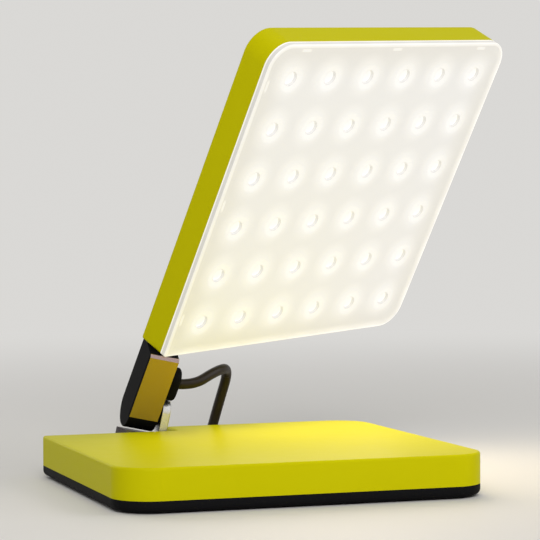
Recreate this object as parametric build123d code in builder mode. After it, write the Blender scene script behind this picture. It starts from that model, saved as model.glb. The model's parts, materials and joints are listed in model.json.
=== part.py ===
# Cordless LED table lamp: a square base, a three-axis hinge in a notch at its rear left corner,
# a short arm and a square light head, joined by one link cable.
# Millimetres, Z up, X along the base's front edge, Y to the back, origin under the base's middle.
import math
import os

from build123d import *

os.makedirs("parts", exist_ok=True)

# Pose that the lamp is drawn in
roll_angle = 12.25
tilt_angle = 28.0
swivel_angle = 31.0

# Clearances and overruns
cut_over = 1.0
running_gap = 0.05
seat_gap = 0.1

# Base plan, heights and walls
base_side = 120.0
base_corner_radius = 12.5
base_height = 14.0
seam_height = 4.0
base_wall = 2.0
base_roof = 1.6
base_edge_radius = 0.8
notch_width = 48.0
notch_depth = 15.0
notch_corner_radius = 1.5

# Bottom plate and mat
mat_thickness = 1.2
mat_proud = 0.4
mat_inset = 7.0
mat_gap = 0.2
plate_edge_radius = 2.0

# Bottom screws and the bosses that they enter
boss_inset = 13.0
boss_radius = 3.2
screw_radius = 1.25
screw_length = 7.0
screw_head_radius = 2.6
screw_head_height = 1.3
screw_slot_width = 0.8
screw_slot_depth = 0.6

# Things that the base holds
ballast_width = 34.0
ballast_length = 78.0
ballast_height = 7.0
ballast_x = -23.0
ballast_y = -13.0
ballast_corner_radius = 3.0
battery_width = 42.0
battery_length = 68.0
battery_height = 7.4
battery_x = 21.0
battery_y = -17.0
battery_edge_radius = 1.8
board_width = 46.0
board_length = 24.0
board_thickness = 1.2
board_x = 19.0
board_wall_gap = 2.4
board_notch_gap = 1.0
board_post_height = 1.8
board_post_radius = 2.0
board_post_inset = 3.5

# Charging socket in the rear wall
socket_x = 17.0
socket_width = 9.0
socket_height = 3.2
socket_depth = 7.4
socket_shell = 0.35
socket_recess = 6.0
socket_rear_gap = 0.3
socket_slot_gap = 0.2
tongue_width = 6.6
tongue_thickness = 0.7
tongue_length = 4.6

# Power button in the rear wall and the switch behind it
button_x = 31.0
button_radius = 3.0
button_proud = 1.0
button_travel = 0.8
button_gap = 0.12
button_flange_radius = 3.6
button_flange_thickness = 1.0
button_crown = 0.4
switch_width = 6.0
switch_depth = 4.0
switch_height = 3.6
plunger_radius = 1.5
plunger_length = 1.2

# Hinge bracket
hub_from_notch_wall = 14.1
hub_height = 8.8
tilt_height = 13.0
knuckle_radius = 4.3
web_thickness = 3.0
web_depth = 14.0
arm_web_gap = 0.7
ear_gap = 1.6
ear_thickness = 2.9
ear_radius = 5.2
ear_edge_chamfer = 0.4

# Roll joint
roll_bolt_radius = 2.0
roll_head_radius = 3.2
roll_head_height = 2.0
roll_socket_radius = 1.2
roll_socket_depth = 1.2
roll_bush_radius = 3.0
roll_flange_radius = 4.2
roll_flange_thickness = 0.4
roll_pad_width = 16.0
roll_pad_depth = 6.0
roll_spring_radius = 3.4
roll_spring_thickness = 0.8
roll_nut_radius = 3.6
roll_nut_thickness = 2.4

# Arm
arm_width = 10.3
arm_depth = 14.6
arm_length = 25.2
arm_cover_thickness = 1.2
arm_plate_thickness = 1.2
arm_plate_chamfer = 0.9
arm_edge_chamfer = 0.3
pin_recess_radius = 5.2
pin_recess_depth = 3.4

# Tilt joint
tilt_pin_radius = 2.2
tilt_head_radius = 3.4
tilt_head_height = 1.0
friction_washer_radius = 4.8
tilt_spring_radius = 3.8
tilt_spring_thickness = 0.6
tilt_nut_radius = 3.6
tilt_nut_thickness = 1.8

# Cable gland and link cable
cable_diameter = 3.6
gland_reach = 9.4
bend_share = 0.45
gland_height = 11.9
gland_length = 12.4
gland_width = 8.0
gland_edge_radius = 1.0
wire_radius = 1.4
grommet_x = 5.4
grommet_height = 9.0
grommet_barrel_radius = 2.9
grommet_flange_radius = 3.9
grommet_flange_thickness = 1.0

# Swivel joint
swivel_gap = 0.4
washer_radius = 4.4
washer_thickness = 0.3
spindle_radius = 2.2
spindle_depth = 8.0
spindle_top = 3.0
groove_depth = 0.4
clip_radius = 2.95
clip_thickness = 1.2
swivel_bush_radius = 3.05

# Light head
head_side = 119.0
head_corner_radius = 12.0
hinge_corner_radius = 1.0
head_shell_depth = 10.4
head_wall = 1.6
head_edge_radius = 0.6
swivel_from_edge = 4.7
swivel_from_back = 6.4
head_boss_width = 9.6
head_boss_height = 9.0

# LED board, LEDs and board screws
led_count = 6
led_pitch = 18.75
led_size = 3.0
led_height = 1.0
led_board_inset = 4.0
led_board_thickness = 1.6
led_board_relief = 10.4
led_post_height = 4.0
led_post_radius = 2.6
board_screw_radius = 1.0
board_screw_head_radius = 2.0
board_screw_head_height = 1.0

# Diffuser
diffuser_thickness = 2.4
diffuser_edge_radius = 0.7
skirt_thickness = 1.2
skirt_depth = 2.4
skirt_gap = 0.15
skirt_relief = 13.7
tab_length = 4.6
tab_proud = 0.5
tab_height = 1.0
tab_gap = 0.1
tab_place_shares = (1 / 8, 1 / 2, 7 / 8)
dimple_radius = 5.2
dimple_flare_depth = 0.5
well_radius = 2.5
well_floor_radius = 2.1
well_depth = 1.1

# Places that follow from the sizes above
half_side = base_side / 2
notch_front = half_side - notch_depth
notch_right = -half_side + notch_width
hinge_y = half_side - notch_depth / 2
hub_x = notch_right - hub_from_notch_wall
plate_top = seam_height
roof_under = base_height - base_roof
rear_inside = half_side - base_wall
mat_recess_top = mat_thickness
half_arm = arm_width / 2
ear_inner = half_arm + ear_gap
ear_outer = ear_inner + ear_thickness
gland_proud = ear_outer - half_arm
web_top = tilt_height - arm_depth / 2 - arm_web_gap
web_bottom = web_top - web_thickness
cable_radius = cable_diameter / 2
board_top = plate_top + board_post_height + board_thickness
port_height = board_top + socket_height / 2
board_rear = rear_inside - board_wall_gap
board_right = board_x + board_width / 2
board_left = max(board_x - board_width / 2, notch_right + base_wall + board_notch_gap)
board_middle_x = (board_left + board_right) / 2
board_y = board_rear - board_length / 2
head_left = -swivel_from_edge
head_middle_x = head_left + head_side / 2
head_middle_z = head_side / 2
shell_front = head_shell_depth - swivel_from_back
diffuser_front = shell_front + diffuser_thickness
shell_floor = head_wall - swivel_from_back
led_board_back = shell_floor + led_post_height

# Frames of the moving bodies: X along the tilt axis or the head's width, Z up along the arm
bracket_frame = Location((hub_x, hinge_y, hub_height), (0, roll_angle, 0))
ear_frame = bracket_frame * Location((0, 0, tilt_height))
arm_frame = ear_frame * Location((0, 0, 0), (tilt_angle, 0, 0))
head_frame = arm_frame * Location((0, 0, arm_length + swivel_gap), (0, 0, swivel_angle))


def floor_plane(frame, z):
    """Plane across a body's own Z, at height z."""
    return Plane(frame).offset(z)


def side_plane(frame, x):
    """Plane across a body's own X, seen from its right: Y runs to the back and Z up."""
    body = Plane(frame)
    return Plane(body.from_local_coords((x, 0, 0)), x_dir=body.y_dir, z_dir=body.x_dir)


def front_plane(frame, depth):
    """Plane facing a body's front, depth in front of its origin: X runs to the right and Z up."""
    body = Plane(frame)
    return Plane(body.from_local_coords((0, -depth, 0)), x_dir=body.x_dir, z_dir=-body.y_dir)


def base_outline(inset):
    """Plan of the base with its hinge notch, drawn inset from the outer wall."""
    with BuildSketch() as plan:
        RectangleRounded(base_side, base_side, base_corner_radius)
        with Locations((-half_side, half_side)):
            Rectangle(2 * notch_width, 2 * notch_depth, mode=Mode.SUBTRACT)
        for corner in ((notch_right, notch_front), (notch_right, half_side), (-half_side, notch_front)):
            fillet(plan.vertices().sort_by_distance((*corner, 0))[0], notch_corner_radius)
        if inset > 0:
            offset(amount=-inset)
    return plan.sketch


def head_outline(inset):
    """Front view of the light head: three round corners, and a tight one beside the hinge."""
    with BuildSketch() as face:
        with Locations((head_middle_x, head_middle_z)):
            Rectangle(head_side, head_side)
        corners = face.vertices().sort_by_distance((head_left, 0, 0))
        fillet(corners[1:], head_corner_radius)
        hinge_corner = face.vertices().sort_by_distance((head_left, 0, 0))[:1]
        fillet(hinge_corner, hinge_corner_radius)
        if inset > 0:
            offset(amount=-inset)
    return face.sketch


def arm_outline(front):
    """Side view of the arm: round lower end about the tilt axis, flat front at the given depth."""
    with BuildSketch() as side:
        Circle(arm_depth / 2)
        with Locations((-front, 0)):
            Rectangle(front + arm_depth / 2, arm_length, align=(Align.MIN, Align.MIN))
        with Locations((-arm_depth / 2, 0)):
            Rectangle(
                arm_depth / 2 - front, arm_depth / 2, align=(Align.MIN, Align.MIN), mode=Mode.SUBTRACT
            )
    return side.sketch


def save(piece, name):
    """Label a finished piece and write it as its own file."""
    piece.label = name
    export_step(piece, f"parts/{name}.step")


boss_places = [
    (boss_inset - half_side, boss_inset - half_side),
    (half_side - boss_inset, boss_inset - half_side),
    (half_side - boss_inset, half_side - boss_inset),
    (boss_inset - half_side, notch_front - boss_inset),
]
rear_wall = Plane((0, half_side, 0), x_dir=(-1, 0, 0), z_dir=(0, 1, 0))
notch_wall = Plane((0, notch_front, 0), x_dir=(-1, 0, 0), z_dir=(0, 1, 0))

# Base housing: a shell open below, with screw bosses and a pad that carries the roll joint
with BuildPart() as base_housing:
    with BuildSketch(Plane.XY.offset(seam_height)):
        add(base_outline(0))
    extrude(amount=base_height - seam_height)
    fillet(base_housing.faces().sort_by(Axis.Z)[-1].edges(), base_edge_radius)
    with BuildSketch(Plane.XY.offset(seam_height)):
        add(base_outline(base_wall))
    extrude(amount=roof_under - seam_height, mode=Mode.SUBTRACT)
    with BuildSketch(Plane.XY.offset(plate_top)):
        with Locations(*boss_places):
            Circle(boss_radius)
    extrude(amount=roof_under - plate_top)
    with BuildSketch(Plane.XY.offset(plate_top)):
        with Locations((hub_x, notch_front - base_wall)):
            Rectangle(roll_pad_width, roll_pad_depth - base_wall, align=(Align.CENTER, Align.MAX))
    extrude(amount=roof_under - plate_top)
    with BuildSketch(Plane.XY.offset(plate_top)):
        with Locations(*boss_places):
            Circle(screw_radius + running_gap)
    extrude(amount=screw_length, mode=Mode.SUBTRACT)
    with BuildSketch(notch_wall):
        with Locations((-hub_x, hub_height)):
            Circle(roll_bush_radius + running_gap)
    extrude(amount=-(roll_pad_depth + cut_over), mode=Mode.SUBTRACT)
    with BuildSketch(rear_wall):
        with Locations((-grommet_x, grommet_height)):
            Circle(grommet_barrel_radius + running_gap)
        with Locations((-socket_x, port_height)):
            SlotOverall(socket_width + 2 * socket_slot_gap, socket_height + 2 * socket_slot_gap)
        with Locations((-button_x, port_height)):
            Circle(button_radius + button_gap)
    extrude(amount=-(base_wall + cut_over), mode=Mode.SUBTRACT)
save(base_housing.part, "base_housing")

# Bottom plate: closes the housing, rounded lower edge, recess for the mat, posts for the board
board_post_span_x = board_right - board_left - 2 * board_post_inset
board_post_span_y = board_length - 2 * board_post_inset
with BuildPart() as bottom_plate:
    with BuildSketch(Plane.XY.offset(mat_proud)):
        add(base_outline(0))
    extrude(amount=plate_top - mat_proud)
    fillet(bottom_plate.faces().sort_by(Axis.Z)[0].edges(), plate_edge_radius)
    with BuildSketch(Plane.XY.offset(mat_proud)):
        add(base_outline(mat_inset))
    extrude(amount=mat_recess_top - mat_proud, mode=Mode.SUBTRACT)
    with BuildSketch(Plane.XY.offset(plate_top)):
        with Locations((board_middle_x, board_y)):
            with GridLocations(board_post_span_x, board_post_span_y, 2, 2):
                Circle(board_post_radius)
    extrude(amount=board_post_height)
    with Locations(Plane((0, 0, mat_recess_top), x_dir=(1, 0, 0), z_dir=(0, 0, -1))):
        with Locations(*[(x, -y) for x, y in boss_places]):
            CounterBoreHole(
                screw_radius + running_gap,
                screw_head_radius + running_gap,
                screw_head_height,
                plate_top - mat_recess_top,
            )
save(bottom_plate.part, "bottom_plate")

# Anti-slip mat that the lamp stands on
with BuildPart() as anti_slip_mat:
    with BuildSketch():
        add(base_outline(mat_inset + mat_gap))
    extrude(amount=mat_thickness)
save(anti_slip_mat.part, "anti_slip_mat")

# Bottom screws, four alike
with BuildPart() as bottom_screws:
    with BuildSketch(Plane.XY.offset(mat_recess_top)):
        with Locations(*boss_places):
            Circle(screw_head_radius)
    extrude(amount=screw_head_height)
    with BuildSketch(Plane.XY.offset(mat_recess_top + screw_head_height)):
        with Locations(*boss_places):
            Circle(screw_radius)
    extrude(amount=screw_length)
    with BuildSketch(Plane.XY.offset(mat_recess_top)):
        with Locations(*boss_places):
            Rectangle(2 * screw_radius, screw_slot_width)
            Rectangle(screw_slot_width, 2 * screw_radius)
    extrude(amount=screw_slot_depth, mode=Mode.SUBTRACT)
save(bottom_screws.part, "bottom_screws")

# Ballast plate
with BuildPart() as ballast_plate:
    with BuildSketch(Plane.XY.offset(plate_top)):
        with Locations((ballast_x, ballast_y)):
            RectangleRounded(ballast_width, ballast_length, ballast_corner_radius)
    extrude(amount=ballast_height)
save(ballast_plate.part, "ballast_plate")

# Battery pack: a soft-edged pouch
with BuildPart() as battery_pack:
    with BuildSketch(Plane.XY.offset(plate_top)):
        with Locations((battery_x, battery_y)):
            Rectangle(battery_width, battery_length)
    extrude(amount=battery_height)
    fillet(battery_pack.edges().filter_by(Axis.Y), battery_edge_radius)
save(battery_pack.part, "battery_pack")

# Control board on its posts
with BuildPart() as control_board:
    with BuildSketch(Plane.XY.offset(board_top - board_thickness)):
        with Locations((board_middle_x, board_y)):
            Rectangle(board_right - board_left, board_length)
    extrude(amount=board_thickness)
save(control_board.part, "control_board")

# Charging socket: a flat round-ended shell with a tongue inside
socket_mouth = Plane((0, half_side - socket_rear_gap, 0), x_dir=(-1, 0, 0), z_dir=(0, 1, 0))
with BuildPart() as charging_socket:
    with BuildSketch(socket_mouth):
        with Locations((-socket_x, port_height)):
            SlotOverall(socket_width, socket_height)
    extrude(amount=-socket_depth)
    with BuildSketch(socket_mouth):
        with Locations((-socket_x, port_height)):
            SlotOverall(socket_width - 2 * socket_shell, socket_height - 2 * socket_shell)
    extrude(amount=-socket_recess, mode=Mode.SUBTRACT)
    with BuildSketch(socket_mouth.offset(-socket_recess)):
        with Locations((-socket_x, port_height)):
            Rectangle(tongue_width, tongue_thickness)
    extrude(amount=tongue_length)
save(charging_socket.part, "charging_socket")

# Power button: domed cap, shank through the wall and a flange that keeps it in
button_back = rear_inside - seat_gap - button_flange_thickness
with BuildPart() as power_button:
    with BuildSketch(Plane((button_x, button_back, port_height), x_dir=(-1, 0, 0), z_dir=(0, 1, 0))):
        Circle(button_flange_radius)
    extrude(amount=button_flange_thickness)
    with BuildSketch(Plane((button_x, button_back, port_height), x_dir=(-1, 0, 0), z_dir=(0, 1, 0))):
        Circle(button_radius)
    extrude(amount=half_side + button_proud - button_back)
    fillet(power_button.faces().sort_by(Axis.Y)[-1].edges(), button_crown)
save(power_button.part, "power_button")

# Switch behind the button, standing on the board
plunger_tip = button_back - button_travel - seat_gap
switch_face = Plane((button_x, plunger_tip, port_height), x_dir=(-1, 0, 0), z_dir=(0, 1, 0))
with BuildPart() as power_switch:
    with BuildSketch(switch_face.offset(-plunger_length)):
        with Locations((0, board_top - port_height)):
            Rectangle(switch_width, switch_height, align=(Align.CENTER, Align.MIN))
    extrude(amount=-switch_depth)
    with BuildSketch(switch_face.offset(-plunger_length)):
        Circle(plunger_radius)
    extrude(amount=plunger_length)
save(power_switch.part, "power_switch")

# Grommet in the rear wall: two flanges on a barrel, bored for the cable
with BuildPart() as cable_grommet:
    with BuildSketch(rear_wall):
        with Locations((-grommet_x, grommet_height)):
            Circle(grommet_flange_radius)
    extrude(amount=grommet_flange_thickness)
    with BuildSketch(rear_wall):
        with Locations((-grommet_x, grommet_height)):
            Circle(grommet_barrel_radius)
    extrude(amount=-base_wall)
    with BuildSketch(rear_wall.offset(-base_wall)):
        with Locations((-grommet_x, grommet_height)):
            Circle(grommet_flange_radius - grommet_flange_thickness / 2)
    extrude(amount=-grommet_flange_thickness)
    fillet(
        cable_grommet.faces().sort_by(Axis.Y)[-1].edges(), grommet_flange_thickness / 2
    )
    with BuildSketch(rear_wall.offset(grommet_flange_thickness)):
        with Locations((-grommet_x, grommet_height)):
            Circle(cable_radius + running_gap)
    extrude(amount=-(base_wall + 2 * grommet_flange_thickness), mode=Mode.SUBTRACT)
save(cable_grommet.part, "cable_grommet")

# Roll bush: flanged sleeve in the notch's wall
with BuildPart() as roll_bush:
    with BuildSketch(notch_wall):
        with Locations((-hub_x, hub_height)):
            Circle(roll_flange_radius)
    extrude(amount=roll_flange_thickness)
    with BuildSketch(notch_wall):
        with Locations((-hub_x, hub_height)):
            Circle(roll_bush_radius)
    extrude(amount=-roll_pad_depth)
    with BuildSketch(notch_wall.offset(roll_flange_thickness)):
        with Locations((-hub_x, hub_height)):
            Circle(roll_bolt_radius + running_gap)
    extrude(amount=-(roll_pad_depth + 2 * roll_flange_thickness), mode=Mode.SUBTRACT)
save(roll_bush.part, "roll_bush")

# Hinge bracket: web under the arm, knuckle on the roll axis, ear on the tilt axis
ear_axis = Axis(Plane(bracket_frame).origin, Plane(bracket_frame).x_dir)
with BuildPart() as hinge_bracket:
    with BuildSketch(front_plane(bracket_frame, 0)):
        with Locations((-half_arm, web_bottom)):
            Rectangle(ear_outer + half_arm, web_thickness, align=(Align.MIN, Align.MIN))
        Circle(knuckle_radius)
    extrude(amount=web_depth / 2, both=True)
    with BuildSketch(side_plane(bracket_frame, ear_inner)):
        with Locations((0, tilt_height)):
            Circle(ear_radius)
        with Locations((0, web_bottom)):
            Rectangle(2 * ear_radius, tilt_height - web_bottom, align=(Align.CENTER, Align.MIN))
    extrude(amount=ear_thickness)
    ear_face = hinge_bracket.faces().filter_by(GeomType.PLANE).sort_by(ear_axis)[-1]
    chamfer(ear_face.edges().filter_by(GeomType.CIRCLE), ear_edge_chamfer)
    with Locations(side_plane(ear_frame, ear_outer)):
        CounterBoreHole(
            tilt_pin_radius + running_gap,
            tilt_head_radius + running_gap,
            tilt_head_height,
            ear_thickness,
        )
    with Locations(Plane(front_plane(bracket_frame, -web_depth / 2).origin, z_dir=(0, 1, 0))):
        CounterBoreHole(
            roll_bolt_radius + running_gap,
            roll_head_radius + running_gap,
            roll_head_height,
            web_depth,
        )
save(hinge_bracket.part, "hinge_bracket")

# Roll bolt: head sunk in the knuckle's back, shank forward through the bush
roll_nut_front = roll_pad_depth + running_gap + roll_spring_thickness + roll_nut_thickness
roll_bolt_length = hinge_y + web_depth / 2 - roll_head_height - notch_front + roll_nut_front
roll_head_plane = Plane(
    (hub_x, hinge_y + web_depth / 2, hub_height), x_dir=(-1, 0, 0), z_dir=(0, 1, 0)
)
with BuildPart() as roll_bolt:
    with BuildSketch(roll_head_plane):
        Circle(roll_head_radius)
    extrude(amount=-roll_head_height)
    with BuildSketch(roll_head_plane.offset(-roll_head_height)):
        Circle(roll_bolt_radius)
    extrude(amount=-roll_bolt_length)
    with BuildSketch(roll_head_plane):
        RegularPolygon(roll_socket_radius, 6)
    extrude(amount=-roll_socket_depth, mode=Mode.SUBTRACT)
save(roll_bolt.part, "roll_bolt")

# Spring washer and nut of the roll joint, inside the base
roll_spring_plane = notch_wall.offset(-(roll_pad_depth + running_gap))
with BuildPart() as roll_spring_washer:
    with BuildSketch(roll_spring_plane):
        with Locations((-hub_x, hub_height)):
            Circle(roll_spring_radius)
            Circle(roll_bolt_radius + running_gap, mode=Mode.SUBTRACT)
    extrude(amount=-roll_spring_thickness)
save(roll_spring_washer.part, "roll_spring_washer")

with BuildPart() as roll_nut:
    with BuildSketch(roll_spring_plane.offset(-roll_spring_thickness)):
        with Locations((-hub_x, hub_height)):
            RegularPolygon(roll_nut_radius, 6)
            Circle(roll_bolt_radius + running_gap, mode=Mode.SUBTRACT)
    extrude(amount=-roll_nut_thickness)
save(roll_nut.part, "roll_nut")

# Arm body: round lower end, pocket for the tilt nut, socket for the spindle, way for the wires
arm_flat = arm_depth / 2 - arm_plate_thickness
arm_body_left = arm_cover_thickness - half_arm
with BuildPart() as arm_body:
    with BuildSketch(side_plane(arm_frame, arm_body_left)):
        add(arm_outline(arm_flat))
    extrude(amount=half_arm - arm_body_left)
    with BuildSketch(side_plane(arm_frame, arm_body_left)):
        Circle(pin_recess_radius)
    extrude(amount=pin_recess_depth, mode=Mode.SUBTRACT)
    with BuildSketch(side_plane(arm_frame, arm_body_left)):
        Circle(tilt_pin_radius + running_gap)
    extrude(amount=arm_width, mode=Mode.SUBTRACT)
    with BuildSketch(side_plane(arm_frame, half_arm)):
        with Locations((0, gland_height)):
            Circle(wire_radius)
    extrude(amount=-half_arm, mode=Mode.SUBTRACT)
    with BuildSketch(floor_plane(arm_frame, arm_length)):
        Circle(spindle_radius + running_gap)
    extrude(amount=-spindle_depth, mode=Mode.SUBTRACT)
    with BuildSketch(floor_plane(arm_frame, arm_length)):
        Circle(wire_radius)
    extrude(amount=gland_height - arm_length, mode=Mode.SUBTRACT)
save(arm_body.part, "arm_body")

# Side cover that closes the arm's left side
with BuildPart() as arm_side_cover:
    with BuildSketch(side_plane(arm_frame, -half_arm)):
        add(arm_outline(arm_flat))
    extrude(amount=arm_cover_thickness)
    cover_axis = Axis(Plane(arm_frame).origin, Plane(arm_frame).x_dir)
    chamfer(arm_side_cover.faces().sort_by(cover_axis)[0].edges(), arm_edge_chamfer)
save(arm_side_cover.part, "arm_side_cover")

# Polished plate on the arm's front, with a bevel along its top
with BuildPart() as arm_front_plate:
    with BuildSketch(front_plane(arm_frame, arm_flat)):
        Rectangle(arm_width, arm_length, align=(Align.CENTER, Align.MIN))
    extrude(amount=arm_plate_thickness)
    plate_front = Axis(Plane(arm_frame).origin, -Plane(arm_frame).y_dir)
    plate_up = Axis(Plane(arm_frame).origin, Plane(arm_frame).z_dir)
    front_edges = arm_front_plate.faces().sort_by(plate_front)[-1].edges()
    chamfer(front_edges.sort_by(plate_up)[-1], arm_plate_chamfer)
save(arm_front_plate.part, "arm_front_plate")

# Tilt pin: head sunk in the ear, shank through the arm
tilt_stack = running_gap + tilt_spring_thickness + tilt_nut_thickness
tilt_seat = arm_body_left + pin_recess_depth
with BuildPart() as tilt_pin:
    with BuildSketch(side_plane(ear_frame, ear_outer)):
        Circle(tilt_head_radius)
    extrude(amount=-tilt_head_height)
    with BuildSketch(side_plane(ear_frame, ear_outer)):
        Circle(tilt_pin_radius)
    extrude(amount=tilt_seat - tilt_stack - ear_outer)
save(tilt_pin.part, "tilt_pin")

# Friction washer between ear and arm
with BuildPart() as friction_washer:
    with BuildSketch(side_plane(ear_frame, half_arm + seat_gap)):
        Circle(friction_washer_radius)
        Circle(tilt_pin_radius + running_gap, mode=Mode.SUBTRACT)
    extrude(amount=ear_gap - seat_gap)
save(friction_washer.part, "friction_washer")

# Spring washer and nut of the tilt joint, in the arm's pocket
with BuildPart() as tilt_spring_washer:
    with BuildSketch(side_plane(ear_frame, tilt_seat - running_gap)):
        Circle(tilt_spring_radius)
        Circle(tilt_pin_radius + running_gap, mode=Mode.SUBTRACT)
    extrude(amount=-tilt_spring_thickness)
save(tilt_spring_washer.part, "tilt_spring_washer")

with BuildPart() as tilt_nut:
    with BuildSketch(side_plane(ear_frame, tilt_seat - running_gap - tilt_spring_thickness)):
        RegularPolygon(tilt_nut_radius, 6)
        Circle(tilt_pin_radius + running_gap, mode=Mode.SUBTRACT)
    extrude(amount=-tilt_nut_thickness)
save(tilt_nut.part, "tilt_nut")

# Cable gland on the arm's right side
with BuildPart() as cable_gland:
    with BuildSketch(side_plane(arm_frame, half_arm)):
        with Locations((0, gland_height)):
            SlotOverall(gland_length, gland_width, rotation=90)
    extrude(amount=gland_proud)
    gland_axis = Axis(Plane(arm_frame).origin, Plane(arm_frame).x_dir)
    fillet(cable_gland.faces().sort_by(gland_axis)[-1].edges(), gland_edge_radius)
    with BuildSketch(side_plane(arm_frame, half_arm)):
        with Locations((0, gland_height)):
            Circle(cable_radius + running_gap)
    extrude(amount=gland_proud, mode=Mode.SUBTRACT)
save(cable_gland.part, "cable_gland")

# Swivel spindle: hollow, pressed in the arm, with a groove for the clip
clip_height = arm_length + swivel_gap + head_boss_height + seat_gap
spindle_end = clip_height + clip_thickness + spindle_top
with BuildPart() as swivel_spindle:
    with BuildSketch(floor_plane(arm_frame, arm_length - spindle_depth)):
        Circle(spindle_radius)
        Circle(wire_radius, mode=Mode.SUBTRACT)
    extrude(amount=spindle_end - arm_length + spindle_depth)
    with BuildSketch(floor_plane(arm_frame, clip_height)):
        Circle(spindle_radius + cut_over)
        Circle(spindle_radius - groove_depth, mode=Mode.SUBTRACT)
    extrude(amount=clip_thickness, mode=Mode.SUBTRACT)
save(swivel_spindle.part, "swivel_spindle")

# Clip in the spindle's groove, open on one side
with BuildPart() as swivel_clip:
    with BuildSketch(floor_plane(arm_frame, clip_height)):
        Circle(clip_radius)
        Circle(spindle_radius - groove_depth + running_gap, mode=Mode.SUBTRACT)
        Rectangle(
            spindle_radius, clip_radius + cut_over, align=(Align.CENTER, Align.MAX), mode=Mode.SUBTRACT
        )
    extrude(amount=clip_thickness - running_gap)
save(swivel_clip.part, "swivel_clip")

# Washer between arm and head
with BuildPart() as swivel_washer:
    with BuildSketch(floor_plane(arm_frame, arm_length)):
        Circle(washer_radius)
        Circle(spindle_radius + running_gap, mode=Mode.SUBTRACT)
    extrude(amount=washer_thickness)
save(swivel_washer.part, "swivel_washer")

# Places along the head's sides where the diffuser snaps in: middle and direction of each side
side_frames = [
    ((head_left, head_middle_z), (-1, 0)),
    ((head_left + head_side, head_middle_z), (1, 0)),
    ((head_middle_x, 0), (0, -1)),
    ((head_middle_x, head_side), (0, 1)),
]
tab_places = []
for (side_x, side_z), (out_x, out_z) in side_frames:
    for share in tab_place_shares:
        along = (share - 1 / 2) * head_side
        tab_places.append((side_x + along * out_z, side_z + along * out_x, out_x, out_z))


def tab_sketch(inner, outer, length):
    """Snap tabs seen from the front, reaching from inner to outer depth below the head's side."""
    with BuildSketch() as tabs:
        for place_x, place_z, out_x, out_z in tab_places:
            middle = (inner + outer) / 2
            with Locations((place_x - out_x * middle, place_z - out_z * middle)):
                if out_z == 0:
                    Rectangle(inner - outer, length)
                else:
                    Rectangle(length, inner - outer)
    return tabs.sketch


skirt_inset = head_wall + skirt_gap
tab_middle = shell_front - skirt_depth / 2
head_back_axis = Axis(Plane(head_frame).origin, -Plane(head_frame).y_dir)

# Head housing: a tray open in front, with the swivel boss, board posts and catches for the tabs
with BuildPart() as head_housing:
    with BuildSketch(front_plane(head_frame, -swivel_from_back)):
        add(head_outline(0))
    extrude(amount=head_shell_depth)
    fillet(head_housing.faces().sort_by(head_back_axis)[0].edges(), head_edge_radius)
    with BuildSketch(front_plane(head_frame, shell_floor)):
        add(head_outline(head_wall))
    extrude(amount=shell_front - shell_floor, mode=Mode.SUBTRACT)
    with BuildSketch(front_plane(head_frame, shell_floor)):
        with Locations((head_left + head_wall / 2, head_wall / 2)):
            Rectangle(
                head_boss_width - head_wall / 2,
                head_boss_height - head_wall / 2,
                align=(Align.MIN, Align.MIN),
            )
    extrude(amount=shell_front - shell_floor)
    with BuildSketch(front_plane(head_frame, shell_floor)):
        with Locations((head_middle_x, head_middle_z)):
            with GridLocations((led_count - 2) * led_pitch, (led_count - 2) * led_pitch, 2, 2):
                Circle(led_post_radius)
                Circle(board_screw_radius + running_gap, mode=Mode.SUBTRACT)
    extrude(amount=led_post_height)
    with BuildSketch(floor_plane(head_frame, 0)):
        Circle(swivel_bush_radius + running_gap)
    extrude(amount=head_boss_height + cut_over, mode=Mode.SUBTRACT)
    with BuildSketch(front_plane(head_frame, tab_middle - tab_height / 2 - tab_gap)):
        add(tab_sketch(skirt_inset, skirt_inset - skirt_gap - tab_proud - tab_gap, tab_length + 2 * tab_gap))
    extrude(amount=tab_height + 2 * tab_gap, mode=Mode.SUBTRACT)
save(head_housing.part, "head_housing")

# Swivel bush in the head's boss
with BuildPart() as swivel_bush:
    with BuildSketch(floor_plane(head_frame, 0)):
        Circle(swivel_bush_radius)
        Circle(spindle_radius + running_gap, mode=Mode.SUBTRACT)
    extrude(amount=head_boss_height)
save(swivel_bush.part, "swivel_bush")

# LED board on its posts, cut away beside the spindle
with BuildPart() as led_board:
    with BuildSketch(front_plane(head_frame, led_board_back)):
        add(head_outline(led_board_inset))
        with Locations((head_left, 0)):
            Rectangle(
                2 * led_board_relief, 2 * (spindle_end - arm_length + cut_over), mode=Mode.SUBTRACT
            )
        with Locations((head_middle_x, head_middle_z)):
            with GridLocations((led_count - 2) * led_pitch, (led_count - 2) * led_pitch, 2, 2):
                Circle(board_screw_radius + running_gap, mode=Mode.SUBTRACT)
    extrude(amount=led_board_thickness)
save(led_board.part, "led_board")

# LEDs, one under each well
led_board_front = led_board_back + led_board_thickness
with BuildPart() as leds:
    with BuildSketch(front_plane(head_frame, led_board_front)):
        with Locations((head_middle_x, head_middle_z)):
            with GridLocations(led_pitch, led_pitch, led_count, led_count):
                Rectangle(led_size, led_size)
    extrude(amount=led_height)
save(leds.part, "leds")

# Screws that hold the LED board
with BuildPart() as board_screws:
    with BuildSketch(front_plane(head_frame, led_board_front)):
        with Locations((head_middle_x, head_middle_z)):
            with GridLocations((led_count - 2) * led_pitch, (led_count - 2) * led_pitch, 2, 2):
                Circle(board_screw_head_radius)
    extrude(amount=board_screw_head_height)
    with BuildSketch(front_plane(head_frame, led_board_front)):
        with Locations((head_middle_x, head_middle_z)):
            with GridLocations((led_count - 2) * led_pitch, (led_count - 2) * led_pitch, 2, 2):
                Circle(board_screw_radius)
    extrude(amount=-(led_board_thickness + led_post_height))
save(board_screws.part, "board_screws")

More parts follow.
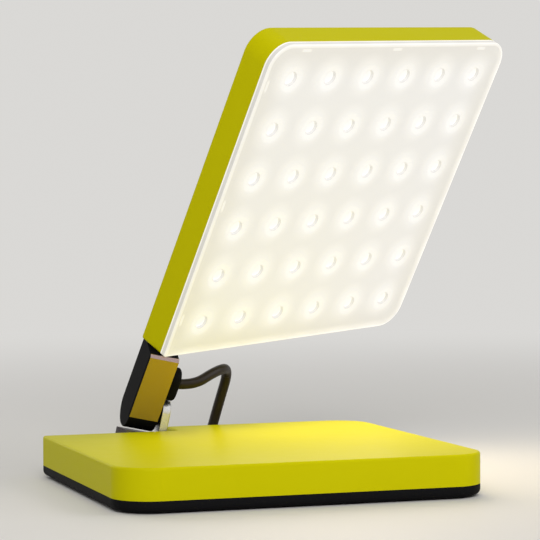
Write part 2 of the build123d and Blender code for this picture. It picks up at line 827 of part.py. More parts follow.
# Diffuser: plate with a flared well over each LED, skirt with snap tabs inside the housing
with BuildPart() as diffuser:
    with BuildSketch(front_plane(head_frame, shell_front)):
        add(head_outline(0))
    extrude(amount=diffuser_thickness)
    fillet(diffuser.faces().sort_by(head_back_axis)[-1].edges(), diffuser_edge_radius)
    with BuildSketch(front_plane(head_frame, shell_front)):
        add(head_outline(skirt_inset))
        add(head_outline(skirt_inset + skirt_thickness), mode=Mode.SUBTRACT)
        add(tab_sketch(skirt_inset, skirt_inset - skirt_gap, tab_length))
        with Locations((head_left, 0)):
            Rectangle(2 * skirt_relief, 2 * skirt_relief, mode=Mode.SUBTRACT)
    extrude(amount=-skirt_depth)
    with BuildSketch(front_plane(head_frame, tab_middle - tab_height / 2)):
        add(tab_sketch(skirt_inset, skirt_inset - skirt_gap - tab_proud, tab_length))
    extrude(amount=tab_height)
    with Locations(front_plane(head_frame, diffuser_front)):
        with Locations((head_middle_x, head_middle_z)):
            with GridLocations(led_pitch, led_pitch, led_count, led_count):
                Cone(
                    well_radius,
                    dimple_radius,
                    dimple_flare_depth,
                    align=(Align.CENTER, Align.CENTER, Align.MAX),
                    mode=Mode.SUBTRACT,
                )
    with Locations(front_plane(head_frame, diffuser_front - dimple_flare_depth)):
        with Locations((head_middle_x, head_middle_z)):
            with GridLocations(led_pitch, led_pitch, led_count, led_count):
                Cone(
                    well_floor_radius,
                    well_radius,
                    well_depth,
                    align=(Align.CENTER, Align.CENTER, Align.MAX),
                    mode=Mode.SUBTRACT,
                )
save(diffuser.part, "diffuser")

# Link cable: out of the gland along the tilt axis, over a tight bend, down behind the base and in
gland_start = Plane(arm_frame).from_local_coords((half_arm + seat_gap, 0, gland_height))
gland_line = Plane(arm_frame).x_dir
grommet_end = half_side - base_wall - grommet_flange_thickness
cable_points = [
    gland_start,
    gland_start + gland_line * gland_reach,
    Vector(4.7, 52.2, 34.0),
    Vector(11.7, 60.5, 34.0),
    Vector(9.1, 65.2, 20.9),
    Vector(7.2, 67.4, 12.0),
    Vector(grommet_x, 65.0, grommet_height),
    Vector(grommet_x, grommet_end, grommet_height),
]
runs = [b - a for a, b in zip(cable_points, cable_points[1:])]
cable_bends = []
for before, after in zip(runs, runs[1:]):
    half_turn = math.radians(before.get_angle(after)) / 2
    cable_bends.append(bend_share * min(before.length, after.length) / math.tan(half_turn))
with BuildPart() as link_cable:
    with BuildLine() as cable_line:
        FilletPolyline(*cable_points, radius=cable_bends)
    with BuildSketch(cable_line.line ^ 0):
        Circle(cable_radius)
    sweep()
save(link_cable.part, "link_cable")

cable_length = sum(edge.length for edge in cable_line.line.edges())
cable_volume = math.pi * cable_radius**2 * cable_length
print("cable bend radii", [round(bend, 1) for bend in cable_bends])
print("cable length", round(cable_length, 1), "volume share", round(link_cable.part.volume / cable_volume, 4))
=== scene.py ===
import json
import math

import bmesh
import bpy
from mathutils import Matrix, Vector


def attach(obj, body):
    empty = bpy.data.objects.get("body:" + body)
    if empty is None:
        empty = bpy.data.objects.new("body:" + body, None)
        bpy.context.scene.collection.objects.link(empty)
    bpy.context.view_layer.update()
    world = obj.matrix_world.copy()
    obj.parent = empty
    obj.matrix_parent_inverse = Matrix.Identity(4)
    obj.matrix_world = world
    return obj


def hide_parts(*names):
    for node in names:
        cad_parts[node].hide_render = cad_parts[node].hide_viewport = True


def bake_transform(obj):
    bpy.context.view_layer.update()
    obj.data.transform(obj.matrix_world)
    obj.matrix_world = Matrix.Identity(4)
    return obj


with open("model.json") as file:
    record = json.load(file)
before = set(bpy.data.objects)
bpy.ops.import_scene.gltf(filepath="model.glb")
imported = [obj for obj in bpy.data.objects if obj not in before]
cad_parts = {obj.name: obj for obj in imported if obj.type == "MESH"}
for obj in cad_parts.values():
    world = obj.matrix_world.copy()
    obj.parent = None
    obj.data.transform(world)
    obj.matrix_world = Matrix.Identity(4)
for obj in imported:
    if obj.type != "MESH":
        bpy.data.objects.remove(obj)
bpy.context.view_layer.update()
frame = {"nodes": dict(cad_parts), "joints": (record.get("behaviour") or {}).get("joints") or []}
nodes = frame["nodes"]
joints = {joint["name"]: joint for joint in frame["joints"]}
MM = 0.001

# Camera: where the photograph was taken from, and its focal length in pixels of a 540 pixel frame
CAMERA_PLACE = Vector((-0.22838, -0.70030, 0.09186))
CAMERA_YAW = 0.32411
CAMERA_PITCH = 0.02887
CAMERA_ROLL = -0.00518
FOCAL_PIXELS = 2241.77
IMAGE_PIXELS = 540
SENSOR_WIDTH = 36.0
CLIP_NEAR = 0.05
CLIP_FAR = 50.0

# The light head's own frame: X along its width, Z up its side, Y to its back
SWIVEL_ANGLE = math.radians(31.0)
HEAD_LEFT = -4.7 * MM
HEAD_SIDE = 119.0 * MM
HEAD_CORNER = 12.0 * MM  # in the solids
CORNER_SHOWN = 8.5 * MM  # in the photograph
HINGE_CORNER = 1.0 * MM
SHELL_FRONT = 4.0 * MM
DIFFUSER_FRONT = 6.4 * MM
WELL_FLOOR = 4.8 * MM
LED_PITCH = 18.75 * MM
LED_COUNT = 6
TAB_PITCH = HEAD_SIDE * 3 / 8
arm_x = Vector(joints["tilt"]["axis"]).normalized()
arm_z = Vector(joints["swivel"]["axis"]).normalized()
head_x = Matrix.Rotation(SWIVEL_ANGLE, 3, arm_z) @ arm_x
head_y = arm_z.cross(head_x)
head_origin = Vector(joints["swivel"]["pos_m"])
head_turn = Matrix((head_x, head_y, arm_z)).transposed()

# The arm's own frame, with the same origin, and half the arm's width
ARM_HALF = 5.15 * MM
arm_turn = Matrix((arm_x, arm_z.cross(arm_x), arm_z)).transposed()

# The hinge bracket's own frame, turned with the roll, and where its ear begins along X
EAR_INNER = 6.75 * MM
bracket_origin = Vector(joints["roll"]["pos_m"])
bracket_y = Vector(joints["roll"]["axis"]).normalized()
bracket_turn = Matrix((arm_x, bracket_y, arm_x.cross(bracket_y))).transposed()


class Shader:
    """A material with one Principled shader, and short ways to add the nodes that feed it."""

    def __init__(self, name, colour, roughness, metallic=0.0, specular=0.5):
        self.material = bpy.data.materials.new(name)
        self.material.use_nodes = True
        self.tree = self.material.node_tree
        self.shader = self.tree.nodes["Principled BSDF"]
        self.set("Base Color", (*colour, 1.0))
        self.set("Roughness", roughness)
        self.set("Metallic", metallic)
        self.set("Specular IOR Level", specular)
        self.place = self.add("ShaderNodeTexCoord").outputs["Object"]

    def set(self, socket, value):
        """Set one of the shader's inputs to a plain value."""
        self.shader.inputs[socket].default_value = value

    def feed(self, socket, source):
        """Link one of the shader's inputs to another node's output."""
        self.tree.links.new(source, self.shader.inputs[socket])

    def add(self, kind, **settings):
        """A new node with the given settings."""
        node = self.tree.nodes.new(kind)
        for name, value in settings.items():
            setattr(node, name, value)
        return node

    def put(self, socket, value):
        """Set a socket to a plain value, or link it to another node's output."""
        if isinstance(value, bpy.types.NodeSocket):
            self.tree.links.new(value, socket)
        else:
            socket.default_value = value

    def math(self, operation, *values):
        """One sum of plain values or other nodes' outputs."""
        node = self.add("ShaderNodeMath", operation=operation)
        for socket, value in zip(node.inputs, values):
            self.put(socket, value)
        return node.outputs[0]

    def step(self, value, low, high, start=0.0, end=1.0):
        """A smooth step of value from start to end as it goes from low to high."""
        node = self.add("ShaderNodeMapRange", interpolation_type="SMOOTHSTEP")
        for socket, number in zip(node.inputs, (value, low, high, start, end)):
            self.put(socket, number)
        return node.outputs[0]

    def local(self, origin, turn, stretch=(1.0, 1.0, 1.0)):
        """Places measured in a body's own frame, shortened along each axis by its stretch."""
        node = self.add("ShaderNodeMapping", vector_type="TEXTURE")
        self.put(node.inputs["Vector"], self.place)
        node.inputs["Location"].default_value = origin
        node.inputs["Rotation"].default_value = turn.to_euler()
        node.inputs["Scale"].default_value = stretch
        return node.outputs[0]

    def axes(self, origin, turn):
        """The X, Y and Z of places measured in a body's own frame."""
        node = self.add("ShaderNodeSeparateXYZ")
        self.put(node.inputs[0], self.local(origin, turn))
        return node.outputs

    def noise(self, size, detail=2.0, place=None):
        """Noise with spots of about the given size in metres."""
        node = self.add("ShaderNodeTexNoise")
        self.put(node.inputs["Vector"], place or self.place)
        node.inputs["Scale"].default_value = 1.0 / size
        node.inputs["Detail"].default_value = detail
        return node.outputs[0]

    def mix(self, factor, first, second):
        """A colour between two others."""
        node = self.add("ShaderNodeMix", data_type="RGBA")
        self.put(node.inputs["Factor"], factor)
        self.put(node.inputs["A"], (*first, 1.0) if isinstance(first, tuple) else first)
        self.put(node.inputs["B"], (*second, 1.0) if isinstance(second, tuple) else second)
        return node.outputs["Result"]

    def bump(self, height, depth, strength):
        """Fine relief of the given depth in metres."""
        node = self.add("ShaderNodeBump")
        node.inputs["Distance"].default_value = depth
        node.inputs["Strength"].default_value = strength
        self.put(node.inputs["Height"], height)
        self.feed("Normal", node.outputs[0])


def lime_coat():
    """Satin powder coat: a fine orange peel, faint clouds in the colour, a little gloss change."""
    coat = Shader("lime_coat", (0.57, 0.54, 0.002), 0.36, specular=0.015)
    cloud = coat.noise(0.030, 3.0)
    coat.feed("Base Color", coat.mix(cloud, (0.565, 0.532, 0.001), (0.580, 0.548, 0.003)))
    coat.feed("Roughness", coat.step(coat.noise(0.004, 3.0), 0.3, 0.7, 0.35, 0.37))
    coat.bump(coat.noise(0.0008, 2.0), 0.00003, 0.25)
    return coat.material


def black_plastic():
    """Moulded black plastic with a spark-eroded grain."""
    plastic = Shader("black_plastic", (0.008, 0.008, 0.009), 0.46, specular=0.01)
    grain = plastic.noise(0.0005, 3.0)
    plastic.feed("Base Color", plastic.mix(grain, (0.006, 0.006, 0.007), (0.011, 0.011, 0.012)))
    plastic.feed("Roughness", plastic.step(grain, 0.3, 0.7, 0.40, 0.54))
    plastic.bump(grain, 0.00005, 0.5)
    return plastic.material


def gloss_black():
    """Polished black lacquer with faint wipe marks."""
    gloss = Shader("gloss_black", (0.006, 0.006, 0.007), 0.10, specular=0.003)
    wipes = gloss.noise(0.0012, 3.0, gloss.local(head_origin, arm_turn, (1.0, 1.0, 9.0)))
    gloss.feed("Roughness", gloss.step(wipes, 0.35, 0.75, 0.07, 0.14))
    cloud = gloss.noise(0.008)
    gloss.feed("Base Color", gloss.mix(cloud, (0.005, 0.005, 0.006), (0.008, 0.008, 0.008)))
    return gloss.material


def polished_metal():
    """Polished plate with fine draw lines along the arm, its two sides coloured near black with a dim edge
    tint.
    """
    metal = Shader("polished_metal", (0.50, 0.37, 0.36), 0.18, metallic=0.94)
    lines = metal.noise(0.00035, 4.0, metal.local(head_origin, arm_turn, (1.0, 1.0, 40.0)))
    metal.feed("Roughness", metal.step(lines, 0.3, 0.7, 0.14, 0.24))
    across = metal.math("ABSOLUTE", metal.axes(head_origin, arm_turn)["X"])
    # Near-black colour and a dim edge tint on the plate's two sides
    side = metal.step(across, ARM_HALF - 0.05 * MM, ARM_HALF - 0.02 * MM)
    bright = metal.mix(lines, (0.46, 0.33, 0.33), (0.54, 0.41, 0.40))
    metal.feed("Base Color", metal.mix(side, bright, (0.012, 0.012, 0.012)))
    metal.feed("Specular Tint", metal.mix(side, (1.0, 1.0, 1.0), (0.05, 0.05, 0.05)))
    metal.bump(lines, 0.00001, 0.3)
    return metal.material


def satin_aluminium():
    """Satin aluminium: bright on the ear, with painted shade on the web and the knuckle, which are the
    same metal.
    """
    metal = Shader("satin_aluminium", (0.66, 0.66, 0.66), 0.30, metallic=1.0)
    grain = metal.noise(0.0004, 3.0)
    metal.feed("Roughness", metal.step(grain, 0.3, 0.7, 0.26, 0.34))
    # Painted shade: below where the ear begins, the web and the knuckle are coloured deep grey and their
    # edge reflections dimmed, though they are the same metal as the ear
    ear = metal.step(metal.axes(bracket_origin, bracket_turn)["X"], EAR_INNER - MM, EAR_INNER)
    cloud = metal.noise(0.006)
    bright = metal.mix(cloud, (0.68, 0.68, 0.68), (0.74, 0.74, 0.73))
    painted_web_shade = metal.mix(cloud, (0.14, 0.13, 0.13), (0.18, 0.17, 0.17))
    metal.feed("Base Color", metal.mix(ear, painted_web_shade, bright))
    metal.feed("Specular Tint", metal.mix(ear, (0.30, 0.29, 0.29), (0.95, 0.95, 0.95)))
    metal.bump(grain, 0.00001, 0.2)
    return metal.material


def turned_steel():
    """Zinc-plated turned steel."""
    metal = Shader("steel", (0.56, 0.56, 0.57), 0.30, metallic=1.0)
    metal.feed("Base Color", metal.mix(metal.noise(0.002, 3.0), (0.50, 0.50, 0.52), (0.62, 0.62, 0.61)))
    metal.feed("Roughness", metal.step(metal.noise(0.0006, 3.0), 0.3, 0.7, 0.24, 0.38))
    return metal.material


def bronze():
    """Sintered bronze, finely porous."""
    metal = Shader("bronze", (0.60, 0.42, 0.20), 0.42, metallic=1.0)
    pores = metal.noise(0.0003, 3.0)
    metal.feed("Base Color", metal.mix(pores, (0.46, 0.31, 0.14), (0.66, 0.47, 0.24)))
    metal.bump(pores, 0.00003, 0.5)
    return metal.material


def black_rubber():
    """Matt rubber with a fine grain."""
    rubber = Shader("black_rubber", (0.020, 0.019, 0.018), 0.70, specular=0.35)
    grain = rubber.noise(0.0006, 3.0)
    rubber.feed("Base Color", rubber.mix(grain, (0.016, 0.015, 0.014), (0.027, 0.026, 0.024)))
    rubber.bump(grain, 0.00008, 0.5)
    return rubber.material


def cable_rubber():
    """Smooth extruded sleeve, brown-black, with a soft sheen."""
    sleeve = Shader("cable_rubber", (0.018, 0.012, 0.009), 0.40, specular=0.2)
    streaks = sleeve.noise(0.0016, 3.0)
    sleeve.feed("Base Color", sleeve.mix(streaks, (0.014, 0.010, 0.007), (0.022, 0.015, 0.011)))
    sleeve.feed("Roughness", sleeve.step(streaks, 0.3, 0.7, 0.33, 0.44))
    sleeve.bump(sleeve.noise(0.0005, 2.0), 0.00003, 0.3)
    return sleeve.material


def circuit_board():
    """Solder mask over a faint weave of tracks."""
    board = Shader("circuit_board", (0.02, 0.12, 0.05), 0.35)
    tracks = board.step(board.noise(0.0018, 1.0), 0.48, 0.52)
    board.feed("Base Color", board.mix(tracks, (0.015, 0.10, 0.04), (0.03, 0.16, 0.07)))
    return board.material


def board_white():
    """White solder mask on a metal core."""
    board = Shader("board_white", (0.80, 0.80, 0.78), 0.40)
    board.feed("Base Color", board.mix(board.noise(0.003, 3.0), (0.77, 0.77, 0.75), (0.83, 0.83, 0.81)))
    return board.material


def battery_foil():
    """Dull laminated foil of a pouch cell, slightly creased."""
    foil = Shader("battery_foil", (0.35, 0.37, 0.40), 0.38, metallic=0.7)
    crease = foil.noise(0.006, 3.0)
    foil.feed("Base Color", foil.mix(crease, (0.31, 0.33, 0.36), (0.40, 0.42, 0.45)))
    foil.bump(crease, 0.0002, 0.3)
    return foil.material


def phosphor():
    """Yellow phosphor of a lit LED."""
    led = Shader("led", (0.85, 0.70, 0.20), 0.35)
    led.feed("Base Color", led.mix(led.noise(0.0008), (0.80, 0.64, 0.15), (0.90, 0.76, 0.26)))
    led.set("Emission Color", (1.0, 0.93, 0.74, 1.0))
    led.set("Emission Strength", 2.0)
    return led.material


# The lit diffuser: where each part of its glow begins and ends, in metres
WELL_ENDS = (2.5 * MM, 2.8 * MM)
WELL_FLOOR_ENDS = (WELL_FLOOR + 0.1 * MM, WELL_FLOOR + 0.3 * MM)
DISC_ENDS = (4.3 * MM, 5.4 * MM)
HALO_ENDS = (1.5 * MM, 9.8 * MM)
HALO_SHIFT_X = 1.2 * MM
HALO_SHIFT_Z = 0.8 * MM
FACE_ENDS = (DIFFUSER_FRONT - 2.5 * MM, DIFFUSER_FRONT - 2.0 * MM)
EDGE_ENDS = (1.0 * MM, 14.0 * MM)
RIM_ENDS = (SHELL_FRONT + 0.3 * MM, SHELL_FRONT + 0.7 * MM)
# The grey band along the sides of the plate is painted shade
BAND_INSET = (0.4 * MM, 0.7 * MM)
BAND_DEPTH = (SHELL_FRONT + 0.7 * MM, DIFFUSER_FRONT - 0.7 * MM)
# The bright line along the rounded front lip is a painted highlight
LIP_INSET = (0.9 * MM, 1.3 * MM)
LIP_DEPTH = (DIFFUSER_FRONT - 0.6 * MM, DIFFUSER_FRONT - 0.4 * MM)
TAB_INSET = (1.7 * MM, 2.4 * MM)
TAB_ENDS = (1.2 * MM, 2.8 * MM)
SOFT_END = 0.3 * MM
DIAGONAL_ENDS = (-6.0 * MM, 6.0 * MM)
BRIGHT_EDGE_ENDS = (1.0 * MM, 4.0 * MM)

# How strongly it glows, what each part adds to that, and its colours
GLOW_LEVEL = 0.485
GLOW_SHARES = {
    "halo": 0.12,
    "disc": 0.03,
    # Painted shade: the walls of the wells glow less, as if shaded
    "painted well shade": -0.22,
    "well floor": 0.04,
    "edge": -0.05,
    # Painted shade: the band along the sides glows less
    "painted side shade": -0.11,
    "rim": 0.18,
    # Painted highlight along the rounded front lip
    "lip": 0.12,
    "tab marks": 0.16,
    "bright edge": 0.12,
}
GLOW_MIDDLE = (1.0, 0.99, 0.965)
GLOW_EDGE = (1.0, 0.97, 0.89)


def lit_diffuser():
    """Satin acrylic, lit from behind: a glow over each LED, painted shade on the walls of the wells,
    painted shade on a grey band along the sides, bright rims, a painted highlight along the front lip, tab
    marks.
    """
    glow = Shader("diffuser", (0.45, 0.445, 0.44), 0.32, specular=0.3)

    def both(first, second):
        return glow.math("MULTIPLY", first, second)

    def fade(value, ends):
        """One up to the first end, nothing from the second on."""
        return glow.step(value, *ends, 1.0, 0.0)

    def between(value, ends):
        """One between the two ends, and soft just outside them."""
        low, high = ends
        return both(glow.step(value, low - SOFT_END, low), fade(value, (high, high + SOFT_END)))

    def from_nearest(place, pitch, shift):
        """Distance along one side to the nearest of a row of places."""
        cell = glow.math("FRACT", glow.math("ADD", glow.math("DIVIDE", place, pitch), shift))
        return both(glow.math("SUBTRACT", cell, 0.5), pitch)

    def reach(first, second):
        """Length of a line with the given two legs."""
        return glow.math("SQRT", glow.math("ADD", both(first, first), both(second, second)))

    # Places on the plate, from its middle, and how far its front stands out
    places = glow.axes(head_origin, head_turn)
    across = glow.math("SUBTRACT", places["X"], HEAD_LEFT + HEAD_SIDE / 2)
    up = glow.math("SUBTRACT", places["Z"], HEAD_SIDE / 2)
    depth = both(places["Y"], -1.0)

    # Round each LED: halo, disc and well
    led_x = from_nearest(across, LED_PITCH, LED_COUNT / 2)
    led_z = from_nearest(up, LED_PITCH, LED_COUNT / 2)
    radius = reach(led_x, led_z)
    halo_x = glow.math("ADD", led_x, HALO_SHIFT_X)
    halo_z = glow.math("SUBTRACT", led_z, HALO_SHIFT_Z)
    well = fade(radius, WELL_ENDS)
    well_floor = both(well, fade(depth, WELL_FLOOR_ENDS))

    # How far a place lies inside the outline, whose corner at the hinge is nearly square
    side_x = glow.math("SUBTRACT", HEAD_SIDE / 2, glow.math("ABSOLUTE", across))
    side_z = glow.math("SUBTRACT", HEAD_SIDE / 2, glow.math("ABSOLUTE", up))
    at_hinge = both(glow.math("LESS_THAN", across, 0.0), glow.math("LESS_THAN", up, 0.0))
    corner = glow.math("SUBTRACT", CORNER_SHOWN, both(at_hinge, CORNER_SHOWN - HINGE_CORNER))
    corner_x = glow.math("MAXIMUM", glow.math("SUBTRACT", corner, side_x), 0.0)
    corner_z = glow.math("MAXIMUM", glow.math("SUBTRACT", corner, side_z), 0.0)
    past_x = glow.math("MAXIMUM", side_x, corner)
    past_z = glow.math("MAXIMUM", side_z, corner)
    inset = glow.math("SUBTRACT", glow.math("MINIMUM", past_x, past_z), reach(corner_x, corner_z))
    edge = fade(inset, EDGE_ENDS)

    # Marks of the snap tabs along the left and top sides
    tab_x = glow.math("ABSOLUTE", from_nearest(across, TAB_PITCH, 0.5))
    tab_z = glow.math("ABSOLUTE", from_nearest(up, TAB_PITCH, 0.5))
    from_left = glow.math("ADD", HEAD_SIDE / 2, across)
    from_top = glow.math("SUBTRACT", HEAD_SIDE / 2, up)
    left_marks = both(between(from_left, TAB_INSET), fade(tab_z, TAB_ENDS))
    top_marks = both(between(from_top, TAB_INSET), fade(tab_x, TAB_ENDS))
    lower_right = glow.step(glow.math("SUBTRACT", across, up), *DIAGONAL_ENDS)

    shares = {
        "halo": fade(reach(halo_x, halo_z), HALO_ENDS),
        "disc": fade(radius, DISC_ENDS),
        # Painted shade on the walls of the wells
        "painted well shade": glow.math("SUBTRACT", well, well_floor),
        "well floor": well_floor,
        "edge": edge,
        # Painted shade on the band along the sides
        "painted side shade": both(fade(inset, BAND_INSET), between(depth, BAND_DEPTH)),
        "rim": fade(depth, RIM_ENDS),
        # Painted highlight along the rounded front lip
        "lip": both(fade(inset, LIP_INSET), glow.step(depth, *LIP_DEPTH)),
        "tab marks": both(glow.step(depth, *FACE_ENDS), glow.math("MAXIMUM", left_marks, top_marks)),
        "bright edge": both(lower_right, fade(inset, BRIGHT_EDGE_ENDS)),
    }
    level = GLOW_LEVEL
    for name, share in shares.items():
        level = glow.math("ADD", level, both(share, GLOW_SHARES[name]))
    glow.feed("Emission Color", glow.mix(edge, GLOW_MIDDLE, GLOW_EDGE))
    glow.feed("Emission Strength", level)
    glow.bump(glow.noise(0.0006, 2.0), 0.00002, 0.2)
    return glow.material


def dress(material, *names):
    """Give CAD nodes a finished material."""
    for name in names:
        mesh = nodes[name].data
        mesh.materials.clear()
        mesh.materials.append(material)


# Materials of the CAD nodes, those that a piece below stands for among them
lime = lime_coat()
lit_plate = lit_diffuser()
sleeve = cable_rubber()
dress(lime, "base_housing", "head_housing")
dress(
    black_plastic(), "bottom_plate", "power_button", "power_switch", "friction_washer", "swivel_washer",
    "cable_gland",
)
dress(gloss_black(), "arm_body", "arm_side_cover")
dress(polished_metal(), "arm_front_plate")
dress(satin_aluminium(), "hinge_bracket")
dress(
    turned_steel(), "bottom_screws", "ballast_plate", "charging_socket", "roll_bolt", "roll_spring_washer",
    "roll_nut", "tilt_pin", "tilt_spring_washer", "tilt_nut", "swivel_spindle", "swivel_clip",
    "board_screws",
)
dress(bronze(), "roll_bush", "swivel_bush")
dress(black_rubber(), "anti_slip_mat", "cable_grommet")
dress(circuit_board(), "control_board")
dress(board_white(), "led_board")
dress(battery_foil(), "battery_pack")
dress(phosphor(), "leds")
dress(lit_plate, "diffuser")
dress(sleeve, "link_cable")

# Head shell and light plate: their three round corners are tighter in the photograph than in the solids
STRETCH_START = 7.0 * MM
SMOOTH_ANGLE = math.radians(30.0)
WELD_DISTANCE = MM / 1000


def corner_reach(over, above):
    """Distance from a solid's corner centre to the tighter outline, in the direction given."""
    shift = HEAD_CORNER - CORNER_SHOWN
    along = shift * (over + above)
    return max(
        min(HEAD_CORNER / over, shift / above),
        min(shift / over, HEAD_CORNER / above),
        along + math.sqrt(along * along - 2 * shift * shift + CORNER_SHOWN * CORNER_SHOWN),
    )


def tight_corners(name, node, material):
    """A copy of one of the head's solids with its round corners drawn out to the radius shown."""
    mesh = bmesh.new()
    mesh.from_mesh(nodes[node].data)
    bmesh.ops.remove_doubles(mesh, verts=mesh.verts, dist=WELD_DISTANCE)
    for vertex in mesh.verts:
        place = head_turn.transposed() @ (vertex.co - head_origin)
        across = place.x - HEAD_LEFT - HEAD_SIDE / 2
        up = place.z - HEAD_SIDE / 2
        over = abs(across) - HEAD_SIDE / 2 + HEAD_CORNER
        above = abs(up) - HEAD_SIDE / 2 + HEAD_CORNER
        away = math.hypot(over, above)
        if min(over, above) <= 0 or max(across, up) < 0 or away < STRETCH_START:
            continue
        share = min((away - STRETCH_START) / (HEAD_CORNER - STRETCH_START), 1.0)
        stretch = corner_reach(over / away, above / away) - HEAD_CORNER
        gain = share * share * (3 - 2 * share) * stretch / away
        place.x += math.copysign(over * gain, across)
        place.z += math.copysign(above * gain, up)
        vertex.co = head_origin + head_turn @ place
    data = bpy.data.meshes.new(name)
    mesh.to_mesh(data)
    mesh.free()
    if "custom_normal" in data.attributes:
        data.attributes.remove(data.attributes["custom_normal"])
    data.shade_smooth()
    data.set_sharp_from_angle(angle=SMOOTH_ANGLE)
    data.materials.append(material)
    piece = bpy.data.objects.new(name, data)
    bpy.context.scene.collection.objects.link(piece)
    even = piece.modifiers.new("even_faces", "WEIGHTED_NORMAL")
    even.keep_sharp = True
    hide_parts(node)
    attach(piece, "head")
    return piece


tight_corners("head_shell", "head_housing", lime)
tight_corners("light_plate", "diffuser", lit_plate)

# Link cable: the route of the CAD solid, as control points of one smooth line
CABLE_DIAMETER = 3.6 * MM
CABLE_POINTS = [
    (-15.98, 46.91, 30.66),
    (-6.80, 46.91, 28.66),
    (4.7, 52.2, 34.0),
    (11.7, 60.5, 34.0),
    (9.1, 65.2, 20.9),
    (7.2, 67.4, 12.0),
    (5.4, 65.0, 9.0),
    (5.4, 57.0, 9.0),
]
TUBE_SIDES = 28
LINE_STEPS = 24


def smooth_line(points):
    """Points along the smooth line that the control points draw, in metres."""
    curve = bpy.data.curves.new("cable_line", "CURVE")
    curve.dimensions = "3D"
    spline = curve.splines.new("NURBS")
    spline.points.add(len(points) - 1)
    for point, place in zip(spline.points, points):
        point.co = (*[length * MM for length in place], 1.0)
    spline.order_u = 3
    spline.use_endpoint_u = True
    spline.resolution_u = LINE_STEPS
    holder = bpy.data.objects.new("cable_line", curve)
    mesh = bpy.data.meshes.new_from_object(holder)
    line = [vertex.co.copy() for vertex in mesh.vertices]
    bpy.data.objects.remove(holder)
    bpy.data.meshes.remove(mesh)
    bpy.data.curves.remove(curve)
    return line


def tube(name, line, diameter):
    """A round tube with closed ends along the points of a line."""
    mesh = bmesh.new()
    ahead = (line[1] - line[0]).normalized()
    side = ahead.orthogonal().normalized()
    rings = []
    for index, place in enumerate(line):
        before = line[max(index - 1, 0)]
        after = line[min(index + 1, len(line) - 1)]
        ahead = (after - before).normalized()
        side = (side - ahead * side.dot(ahead)).normalized()
        over = ahead.cross(side)
        ring = []
        for corner in range(TUBE_SIDES):
            angle = 2 * math.pi * corner / TUBE_SIDES
            reach = side * math.cos(angle) + over * math.sin(angle)
            ring.append(mesh.verts.new(place + reach * diameter / 2))
        rings.append(ring)
    for lower, upper in zip(rings, rings[1:]):
        for corner in range(TUBE_SIDES):
            after = (corner + 1) % TUBE_SIDES
            face = mesh.faces.new((lower[corner], lower[after], upper[after], upper[corner]))
            face.smooth = True
    mesh.faces.new(reversed(rings[0]))
    mesh.faces.new(rings[-1])
    data = bpy.data.meshes.new(name)
    mesh.to_mesh(data)
    mesh.free()
    piece = bpy.data.objects.new(name, data)
    bpy.context.scene.collection.objects.link(piece)
    return piece


def line_length(line):
    """Length along the points of a line."""
    return sum((after - before).length for before, after in zip(line, line[1:]))


cable_line = smooth_line(CABLE_POINTS)
half_length = line_length(cable_line) / 2
middle = next(
    index for index in range(len(cable_line)) if line_length(cable_line[: index + 1]) > half_length
)
upper_line = cable_line[: middle + 1]
lower_line = cable_line[middle:]
upper_cable = tube("link_cable_upper", upper_line, CABLE_DIAMETER)
lower_cable = tube("link_cable_lower", lower_line, CABLE_DIAMETER)
for piece in (upper_cable, lower_cable):
    piece.data.materials.append(sleeve)
    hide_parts("link_cable")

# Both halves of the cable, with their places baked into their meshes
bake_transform(upper_cable)
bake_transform(lower_cable)

# Camera
camera_data = bpy.data.cameras.new("camera")
camera_data.sensor_width = SENSOR_WIDTH
camera_data.lens = SENSOR_WIDTH * FOCAL_PIXELS / IMAGE_PIXELS
camera_data.clip_start = CLIP_NEAR
camera_data.clip_end = CLIP_FAR
camera = bpy.data.objects.new("camera", camera_data)
bpy.context.scene.collection.objects.link(camera)
look = Vector(
    (
        math.sin(CAMERA_YAW) * math.cos(CAMERA_PITCH),
        math.cos(CAMERA_YAW) * math.cos(CAMERA_PITCH),
        -math.sin(CAMERA_PITCH),
    )
)
level_right = Vector((math.cos(CAMERA_YAW), -math.sin(CAMERA_YAW), 0.0))
level_up = level_right.cross(look)
camera_right = level_right * math.cos(CAMERA_ROLL) + level_up * math.sin(CAMERA_ROLL)
camera_up = level_up * math.cos(CAMERA_ROLL) - level_right * math.sin(CAMERA_ROLL)
turn = Matrix((camera_right, camera_up, -look)).transposed()
camera.matrix_world = Matrix.Translation(CAMERA_PLACE) @ turn.to_4x4()
bpy.context.scene.camera = camera

# Stage: a wide pale floor that fades into an equally pale world
PALE = (0.70, 0.69, 0.67)
FLOOR_SIZE = 12.0
FADE_NEAR = 0.2
FADE_FAR = 0.9


def pale_floor():
    """Pale matt floor that turns into the world's own colour far from the lamp."""
    ground = Shader("pale_floor", PALE, 0.6, specular=0.3)
    radius = ground.add("ShaderNodeVectorMath", operation="LENGTH")
    ground.put(radius.inputs[0], ground.place)
    fade = ground.step(radius.outputs["Value"], FADE_NEAR, FADE_FAR)
    far = ground.add("ShaderNodeEmission")
    far.inputs["Color"].default_value = (*PALE, 1.0)
    blend = ground.add("ShaderNodeMixShader")
    ground.put(blend.inputs[0], fade)
    ground.put(blend.inputs[1], ground.shader.outputs[0])
    ground.put(blend.inputs[2], far.outputs[0])
    ground.put(ground.tree.nodes["Material Output"].inputs["Surface"], blend.outputs[0])
    return ground.material


floor_mesh = bpy.data.meshes.new("floor")
half = FLOOR_SIZE / 2
floor_mesh.from_pydata(
    [(-half, -half, 0.0), (half, -half, 0.0), (half, half, 0.0), (-half, half, 0.0)], [], [(0, 1, 2, 3)]
)
floor_mesh.materials.append(pale_floor())
floor = bpy.data.objects.new("floor", floor_mesh)
bpy.context.scene.collection.objects.link(floor)

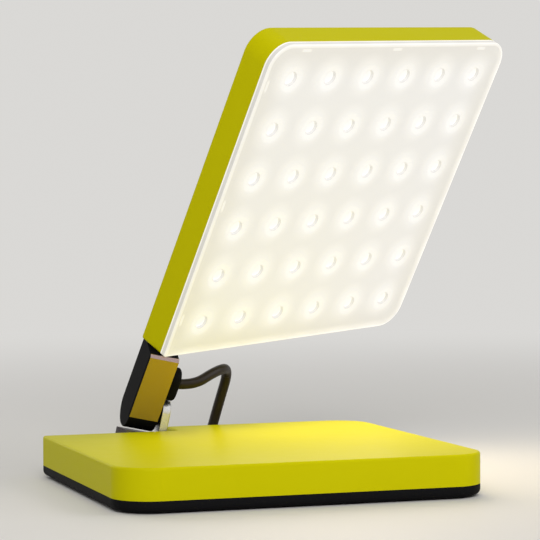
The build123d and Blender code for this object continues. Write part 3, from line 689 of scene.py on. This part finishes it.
# World: pale for the camera and for reflections, a softer level for the light it gives
WORLD_LIGHT = 0.35
world = bpy.data.worlds.new("world")
bpy.context.scene.world = world
world.use_nodes = True
sky = world.node_tree
background = sky.nodes["Background"]
background.inputs["Color"].default_value = (*PALE, 1.0)
paths = sky.nodes.new("ShaderNodeLightPath")
seen = sky.nodes.new("ShaderNodeMath")
seen.operation = "MAXIMUM"
sky.links.new(paths.outputs["Is Camera Ray"], seen.inputs[0])
sky.links.new(paths.outputs["Is Glossy Ray"], seen.inputs[1])
strength = sky.nodes.new("ShaderNodeMapRange")
strength.inputs["To Min"].default_value = WORLD_LIGHT
strength.inputs["To Max"].default_value = 1.0
sky.links.new(seen.outputs[0], strength.inputs["Value"])
sky.links.new(strength.outputs[0], background.inputs["Strength"])


# Studio light: places and sizes in metres, powers in watts
WHITE = (1.0, 1.0, 1.0)
LAMP_MIDDLE = Vector((0.02, 0.02, 0.06))
SHINE_COLOUR = (1.0, 0.82, 0.52)


def soft_light(name, place, size, power, colour=WHITE, aim=LAMP_MIDDLE):
    """A square area light that faces the lamp, or the given place."""
    data = bpy.data.lights.new(name, "AREA")
    data.shape = "SQUARE"
    data.size = size
    data.energy = power
    data.color = colour
    light = bpy.data.objects.new(name, data)
    light.location = place
    light.rotation_euler = (aim - light.location).to_track_quat("-Z", "Y").to_euler()
    light.visible_camera = False
    bpy.context.scene.collection.objects.link(light)
    return light


soft_light("key", Vector((-0.25, -1.10, 0.75)), size=0.7, power=9.6, colour=(1.0, 0.98, 0.95))
soft_light("fill", Vector((1.0, -0.35, 0.65)), size=0.8, power=3.5)
soft_light("top", Vector((0.1, 0.1, 1.2)), size=0.8, power=1.8)
soft_light("back", Vector((-0.5, 1.1, 0.6)), size=0.8, power=4.5)

# The lamp's own light, which falls on its base and the floor in front, and moves with the head
face_middle = (
    head_origin
    + head_x * (HEAD_LEFT + HEAD_SIDE / 2)
    + arm_z * HEAD_SIDE / 2
    - head_y * (DIFFUSER_FRONT + MM)
)
shine = soft_light(
    "shine", face_middle, size=HEAD_SIDE, power=0.12, colour=SHINE_COLOUR, aim=face_middle - head_y
)
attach(shine, "head")

bpy.context.scene.view_settings.view_transform = "Standard"
